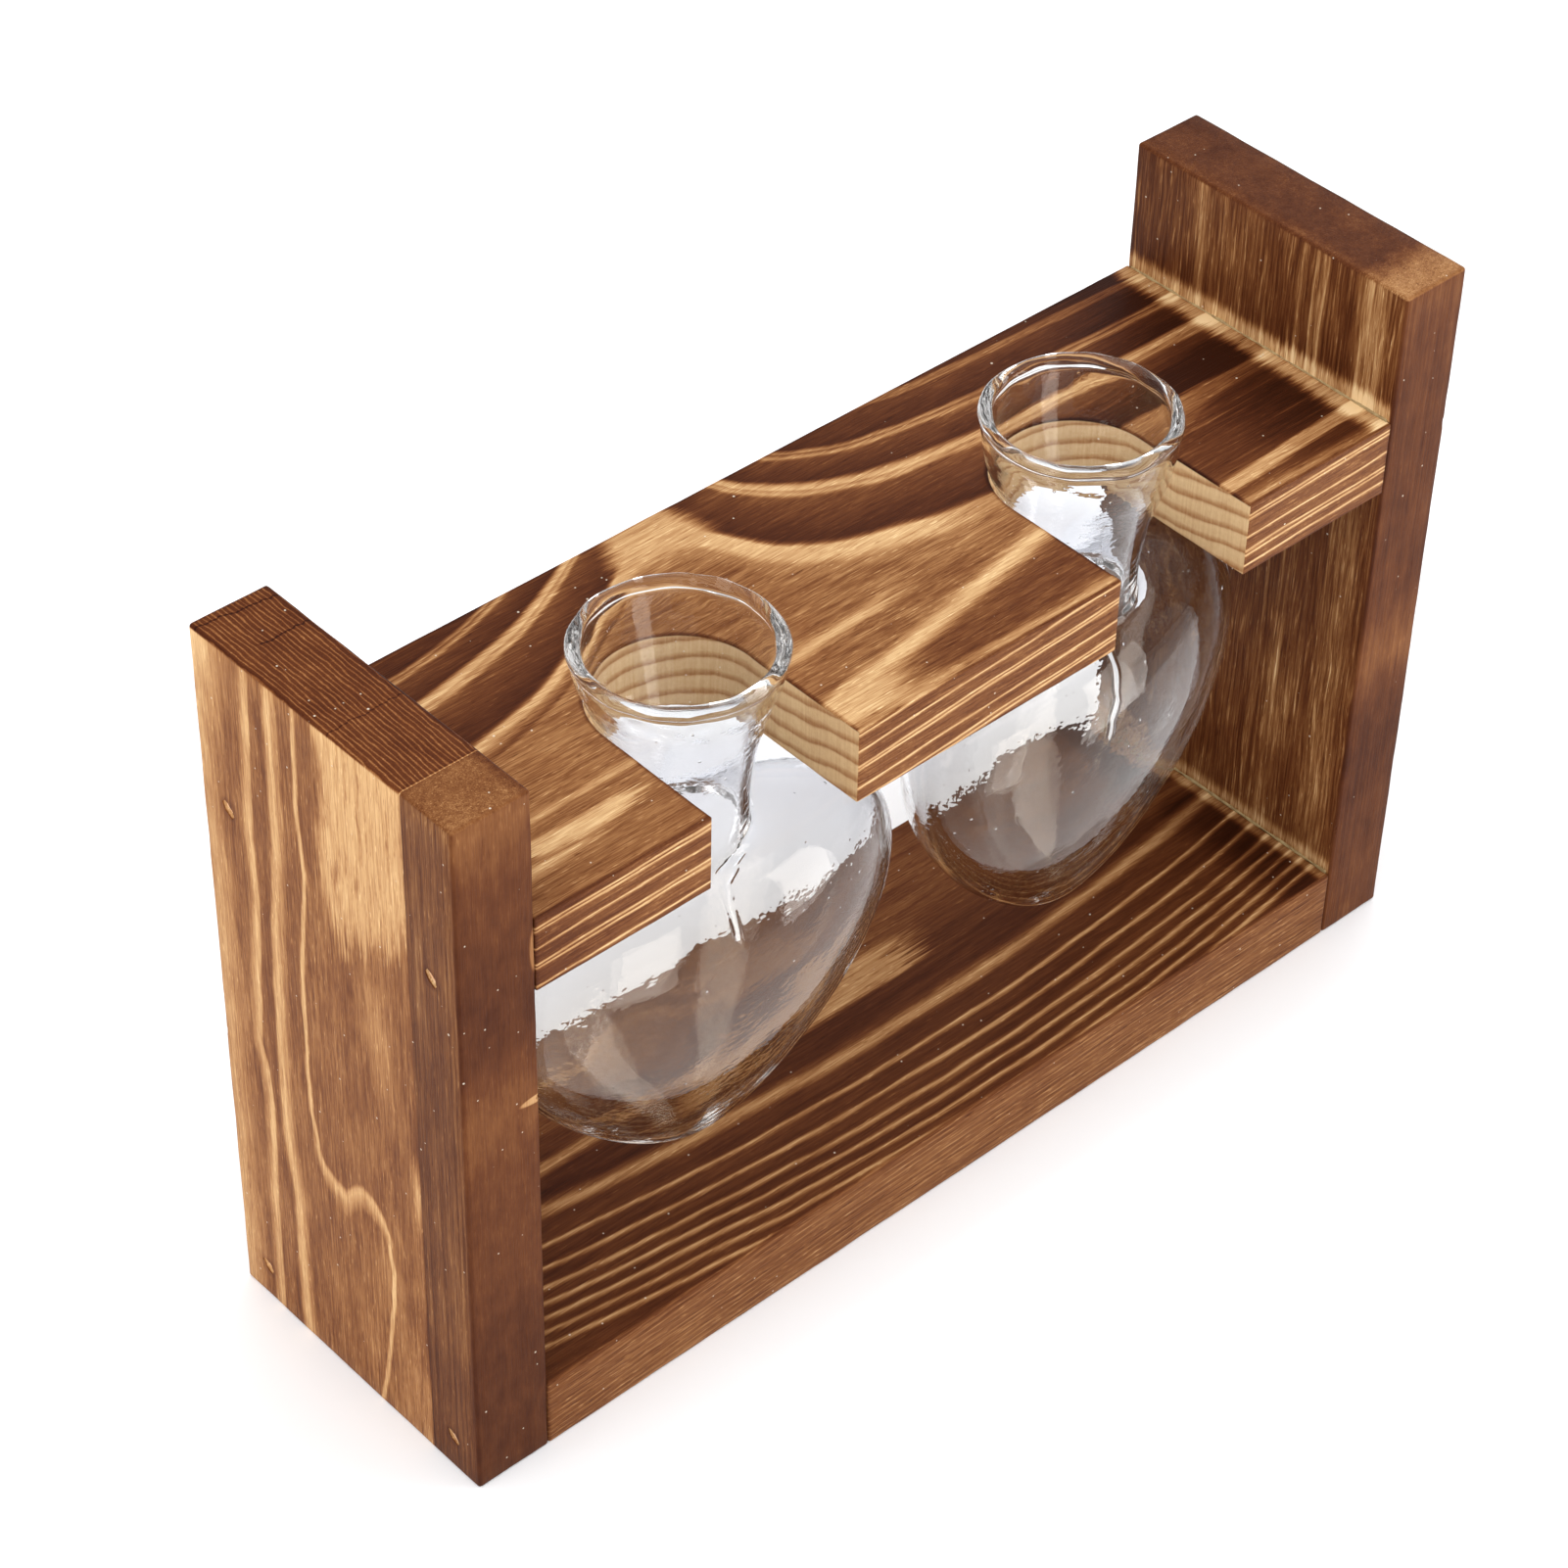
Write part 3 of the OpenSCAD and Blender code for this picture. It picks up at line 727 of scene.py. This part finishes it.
# The inner face is darker above the shelf, and light in a narrow strip along the top of each board.
inner = x.rise(97, 96.2)
above = (down - 26).rise(0.4, -0.4) * inner
gaps = wood.noise(z / 12, (back + wave) / 1.6, x / 4, 3.0, 0.6, 33.0)
tone = 0.3 + (stripes - 0.26) * (0.4 + above * 0.45 + gaps * 0.45)
tone = tone + fine * 0.2 + lick.rise(0.1, 0.9) * 0.3 - lick.rise(-0.2, -1.1) * 0.13
tone = tone + (fine + gaps * 0.4).rise(0.45, 0.9) * 0.16
near_shelf = (down + lick * 3).rise(12, 21) * above
shelf_glow = (down + rag).rise(21.6, 24.4) * down.rise(26.2, 25.9)
base_glow = (down + rag * 0.8).hump(130.2, 2.8)
tone = tone - near_shelf * (0.07 - lick * 0.04) - (1 - above) * 0.02
tone = tone + (shelf_glow * 0.46 + base_glow * 0.32) * inner
tone = tone + (back + rag * 2).hump(47, 7) * (down + rag * 6).hump(100, 24) * 0.14
end_face = top_of(z)
end_tone = (0.19 + wood.noise(x / 1.4, y / 1.4, 0.0, 3.0, 0.6, 6.0) * 0.06
            + wood.noise(x / 8, y / 8, 0.0, 2.0, 0.5, 6.0) * 0.08 + x.rise(99, 96) * 0.08
            + (y + wood.noise(x / 3, y / 3, 0.0, 2.0, 0.5, 1.0) * 1.6).rise(-19.5, -27) * 0.3)
front_face = front_of(y)
edge_tone = (0.2 + wood.noise(z / 50, x / 0.8, 0.0, 2.0, 0.6, 8.0) * 0.08
             + wood.noise(z / 9, x / 5, 0.0, 3.0, 0.6, 8.0) * 0.08 + down.rise(14, 0) * 0.1
             + down.hump(80, 14) * 0.14 - down.hump(104, 16) * 0.06 + down.rise(124, 146) * 0.06)
tone = tone * (1 - front_face) + edge_tone * front_face
tone = tone * (1 - end_face) + end_tone * end_face
tone = tone - arris(place, right_low, right_high).rise(1.0, 0.1) * 0.07
stain = brad_stain(y, z)
tone = tone - stain * 0.06 * (1 - inner) + stain * (OUTER_X - x).rise(0.1, 0.3) * x.rise(108, 109) * 0.45
right_wood = torched(wood, tone, z, y, x, quiet=front_face * 0.6)
cutters = bmesh.new()
brad_pockets(cutters, OUTER_X, [-BRAD_Y, BRAD_Y])
pebble(cutters, (OUTER_X, -32.1, 114.0), (1.1, 1.2, 3.4), 7.0)
pebble(cutters, (95.9, -32.0, 26.0), (1.0, 0.9, 2.6), 8.0)
right = seen("right_panel_visual", carved("right_panel_visual", sawn_board(right_low, right_high), cutters),
             right_wood)
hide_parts("right_panel")
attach(right, "stand")


# Dried glue.
# A thin ragged bead of glue squeezed out along the corner between each board's top and the panels, where
# it dried hard and amber.

GLUE_R = 0.35 * MM
GLUE_SHORT = 1 * MM  # how far a bead stops before the board's front and back edges
GLUE_CUTS = 90
GLUE_LUMP = 2.3 * MM  # about the length of its lumps
GLUE_CRUST = 0.6 * MM  # and of the finer crust on them
wood_glue = Finish("dried_glue")
x, y, z = wood_glue.place()
crust = wood_glue.noise(x / 0.8, y / 1.6, z / 0.8, 3.0, 0.6)
amber = wood_glue.mix(crust * 0.5 + 0.5, srgb(112, 80, 44), srgb(186, 164, 116))
glue_finish = wood_glue.show(wood_glue.node("BsdfPrincipled", {}, {
    "Base Color": amber, "Roughness": 0.45 + crust * 0.1, "Specular IOR Level": 0.3}))
for board, low, high in (("shelf", shelf_low, shelf_high), ("base", base_low, base_high)):
    for side, corner_x in (("left", low.x), ("right", high.x)):
        bead = bmesh.new()
        lying = Matrix.Translation((corner_x, 0, high.z)) @ Matrix.Rotation(math.radians(90), 4, "X")
        bmesh.ops.create_cone(bead, cap_ends=True, segments=12, radius1=GLUE_R, radius2=GLUE_R,
                              depth=high.y - low.y - 2 * GLUE_SHORT, matrix=lying)
        for step in range(1, GLUE_CUTS):
            place = low.y + (high.y - low.y) * step / GLUE_CUTS
            bmesh.ops.bisect_plane(bead, geom=bead.verts[:] + bead.edges[:] + bead.faces[:], dist=1e-7,
                                   plane_co=(0, place, 0), plane_no=(0, 1, 0))
        for vertex in bead.verts:
            spine = Vector((corner_x, vertex.co.y, high.z))
            swell = 0.85 + 0.8 * noise.noise(spine / GLUE_LUMP) + 0.3 * noise.noise(vertex.co / GLUE_CRUST)
            vertex.co = spine + (vertex.co - spine) * max(0.2, swell)
        glue = seen(side + "_" + board + "_glue", mesh_of(side + "_" + board + "_glue", bead), glue_finish)
        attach(glue, "stand")


# Brad nails.
# Bare wire brads shot through each panel into the ends of the boards, two to a joint, with their
# heads just under the surface.

steel = Finish("brad_wire")
x, y, z = steel.place()
scuff = steel.noise(x / 0.6, y / 0.6, z / 0.6, 3.0, 0.6)
wire_colour = steel.mix(scuff * 0.5 + 0.5, srgb(226, 160, 108), srgb(255, 226, 186))
brad_steel = steel.show(steel.node("BsdfPrincipled", {}, {
    "Base Color": wire_colour, "Roughness": 0.38 + scuff * 0.08, "Metallic": 0.25}))
for node_name in ("left_shelf_nails", "left_base_nails", "right_shelf_nails", "right_base_nails"):
    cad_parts[node_name].data.materials.clear()
    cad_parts[node_name].data.materials.append(brad_steel)


# Glass flasks.
# Two blown flasks, flattened front to back, with a flared neck and a rolled rim. Each hangs by its
# flare in a slot, and their glass is rippled by the blowing and pressing.

GLASS = 1.5 * MM
BEAD = 2.5 * MM
BEAD_JOIN = math.acos(GLASS / BEAD)  # where on the round rim its glass runs into the wall
BODY_W = 85 * MM
BODY_D = 37.5 * MM
BODY_H = 72 * MM
THROAT_R = 11 * MM
THROAT_DROP = 9 * MM  # from the shelf's underside down to the throat
SEAT_R = SLOT_R - 0.3 * MM  # of the flare, level with the shelf's top
BOARD_T = shelf_high.z - shelf_low.z
RIM_RISE = 11 * MM  # from the shelf's top up to the top of the rim
LEAN = math.tan(math.radians(2))  # the body hangs forward
WIDEST = 0.67  # this and the next three are shares of the body's height, and BOTTOM is one of its width
FLANK = 0.29
SHOULDER = 0.35
NECK_HOLD = 0.1
BOTTOM = 0.28
DEPTH_FALL = 1.8  # the power by which the depth shrinks faster than the width towards the neck
FLARE = 2.0  # how steeply the flare opens at the seat, where 1 is a straight cone
TURNS = 192  # steps round a flask, and then those up each part of its outline
BODY_STEPS = 40
SHOULDER_STEPS = 36
FLARE_STEPS = 22
LIP_STEPS = 10
BEAD_STEPS = 16
SWELL = 0.12 * MM  # how far the glass swells and sinks in broad patches
STREAK = 0.025 * MM  # the same, in upright streaks
TOOL_MARK = 0.26 * MM  # the same, where the rim was rolled, fading over RIM_REACH
RIM_REACH = 8 * MM


def bezier(a, b, c, d, t):
    """The curve from a to d that b and c pull on, at t from 0 to 1."""
    return a * (1 - t) ** 3 + 3 * b * t * (1 - t) ** 2 + 3 * c * t ** 2 * (1 - t) + d * t ** 3


def hermite(a, b, start_slope, end_slope, t):
    """The curve from a to b that leaves and arrives with these slopes, at t from 0 to 1."""
    return (a * (2 * t ** 3 - 3 * t ** 2 + 1) + start_slope * (t ** 3 - 2 * t ** 2 + t)
            + b * (3 * t ** 2 - 2 * t ** 3) + end_slope * (t ** 3 - t ** 2))


def wall(throat, bead_r, bead_z, inset):
    """One side of the glass from its bottom to the bead: height, half width and half depth."""
    low = throat - BODY_H
    wide = low + WIDEST * BODY_H
    rings = []
    for step in range(0, BODY_STEPS + 1):
        t = step / BODY_STEPS
        reach = bezier(0, BOTTOM, 1, 1, t)
        rings.append((bezier(low + inset, low + inset, wide - FLANK * BODY_H, wide, t),
                      (BODY_W / 2 - inset) * reach, (BODY_D / 2 - inset) * reach))
    neck_r = THROAT_R - inset
    for step in range(1, SHOULDER_STEPS + 1):
        t = step / SHOULDER_STEPS
        reach = bezier(1, 1, 0, 0, t)
        height = bezier(wide, wide + SHOULDER * BODY_H - inset, throat - NECK_HOLD * BODY_H - inset,
                        throat - inset, t)
        rings.append((height,
                      neck_r + (BODY_W / 2 - inset - neck_r) * reach,
                      neck_r + (BODY_D / 2 - inset - neck_r) * reach ** DEPTH_FALL))
    edge_r = SEAT_R - inset
    slope = FLARE * (edge_r - neck_r)
    start = throat - inset
    for step in range(1, FLARE_STEPS + 1):
        t = step / FLARE_STEPS
        radius = hermite(neck_r, edge_r, 0, slope, t)
        rings.append((start * (1 - t), radius, radius))
    bead_low = BEAD / 2 * math.sin(BEAD_JOIN)
    lip_h = bead_z - bead_low
    lip_r = bead_r + GLASS / 2 - inset
    for step in range(1, LIP_STEPS):
        t = step / LIP_STEPS
        radius = hermite(edge_r, lip_r, -slope * lip_h / start, 0, t)
        rings.append((lip_h * t, radius, radius))
    return rings


def blown_flask(name, centre_x, rim_d, lift, turn, seed):
    """A flask turned from its outline, flattened, rippled and hung in its slot, its body tilted forward."""
    throat = lift - BOARD_T - THROAT_DROP
    bead_r = (rim_d - BEAD) / 2
    bead_z = RIM_RISE + lift - BEAD / 2
    bead = []
    for step in range(0, BEAD_STEPS + 1):
        a = (math.pi + 2 * BEAD_JOIN) * step / BEAD_STEPS - BEAD_JOIN
        radius = bead_r + BEAD / 2 * math.cos(a)
        bead.append((bead_z + BEAD / 2 * math.sin(a), radius, radius))
    rings = wall(throat, bead_r, bead_z, 0) + bead + wall(throat, bead_r, bead_z, GLASS)[::-1]
    bm = bmesh.new()
    flatness = bm.verts.layers.float.new("flatness")
    chain = []
    for height, half_w, half_d in rings:
        vertex = bm.verts.new((half_w, 0, height))
        vertex[flatness] = half_d / half_w if half_w > 0 else 1.0
        chain.append(vertex)
    edges = [bm.edges.new(pair) for pair in zip(chain, chain[1:])]
    bmesh.ops.spin(bm, geom=chain + edges, cent=(0, 0, 0), axis=(0, 0, 1), angle=2 * math.pi, steps=TURNS,
                   use_merge=True)
    bmesh.ops.remove_doubles(bm, verts=bm.verts, dist=1e-6)
    for vertex in bm.verts:
        vertex.co.y *= vertex[flatness]
    bmesh.ops.recalc_face_normals(bm, faces=bm.faces)
    bm.normal_update()
    shift = Vector((seed, 0, 0))
    for vertex in bm.verts:
        co = vertex.co
        near_rim = max(0.0, 1 - abs(co.z - bead_z) / RIM_REACH)
        in_streak = Vector((co.x / (4 * MM), co.y / (4 * MM), co.z / (7 * MM)))
        in_mark = Vector((co.x / (5 * MM), co.y / (5 * MM), co.z / (2.2 * MM)))
        swell = noise.noise(co / (11 * MM) + shift) * SWELL
        swell += noise.noise(in_streak + shift) * STREAK
        swell += noise.noise(in_mark + shift) * near_rim * TOOL_MARK
        vertex.co += vertex.normal * swell
    spot = Matrix.Translation((centre_x, SLOT_Y, shelf_high.z)) @ Matrix.Rotation(math.radians(turn), 4, "Z")
    for vertex in bm.verts:
        height = vertex.co.z
        vertex.co = spot @ vertex.co + Vector((0, height * LEAN, 0))
    return seen(name, mesh_of(name, bm), flask_glass)


RIPPLE_DEPTH = 0.006 * MM  # of the finest ripple, which is in the shading only
GLASS_IOR = 1.46
glass = Finish("blown_glass")
x, y, z = glass.place()
film = glass.noise(x / 18, y / 18, z / 18, 2.0)
ripple = glass.noise(x / 1.7, y / 1.7, z / 1.1, 1.0, 0.5)
# A crease in the front of each flask: heights, and how far right of x -60 and of x 0 it runs there.
LEFT_FOLD = [(80, 12.6), (83, 11.8), (86, 11.8), (88.2, 11.9), (90.7, 12.8), (92.2, 15.7), (93.1, 18.4)]
RIGHT_FOLD = [(78, 35.4), (82, 36.4), (86, 38.6), (91, 40.1), (95, 40.6), (98.8, 41)]
left_fold = x + 60 - z.profile(LEFT_FOLD, "EASE")
right_fold = x - z.profile(RIGHT_FOLD, "EASE")
fold = left_fold.hump(0, 0.9) * z.rise(80, 83) * z.rise(94, 92.6)
fold = fold.at_least(right_fold.hump(0, 0.8) * z.rise(78, 82) * z.rise(99, 96)) * y.rise(-12, -15)
seeds = glass.speck_gap(x, y, z, 5).rise(0.07, 0.02)
drawn = glass.node("Bump", {}, {
    "Strength": 1.0, "Distance": RIPPLE_DEPTH, "Height": ripple - fold * 24 + seeds * 9})
# Painted warm cast: low on the body the glass is tinted warm, a painted stand-in for the warm light of the wood
# seen through it.
painted_warm_cast = z.rise(82, 40)
tint = glass.mix(painted_warm_cast, (0.84, 0.848, 0.87, 1), (0.885, 0.86, 0.81, 1))
# Painted light at the rim: the glass there is tinted clearer so that the rolled rim renders lighter.
tint = glass.mix(z.rise(120, 129), tint, (0.97, 0.98, 0.975, 1))
clear = glass.node("BsdfPrincipled", {}, {
    "Base Color": tint, "Roughness": (film * 0.01 + 0.012).at_least(0.0), "IOR": GLASS_IOR,
    "Transmission Weight": 1.0, "Specular IOR Level": 0.5, "Specular Tint": (0.45, 0.4, 0.34, 1),
    "Normal": drawn})
through = glass.node("BsdfTransparent", {}, {"Color": (0.93, 0.94, 0.95, 1)})
lamp_ray = glass.node("LightPath", {}, {}, "Is Shadow Ray")
flask_glass = glass.show(glass.node("MixShader", {}, {0: lamp_ray, 1: clear, 2: through}))
FLASKS = (  # side, middle, rim across, how much higher it sits, turn in degrees and seed of its ripple
    ("left", -SLOT_X, 36 * MM, 0.0, -2, 3.0),
    ("right", SLOT_X, 35 * MM, 2 * MM, 9, 11.0))
for side, centre_x, rim_d, lift, turn, seed in FLASKS:
    flask = blown_flask(side + "_flask_visual", centre_x, rim_d, lift, turn, seed)
    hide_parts(side + "_vase")
    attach(flask, side + "_flask")
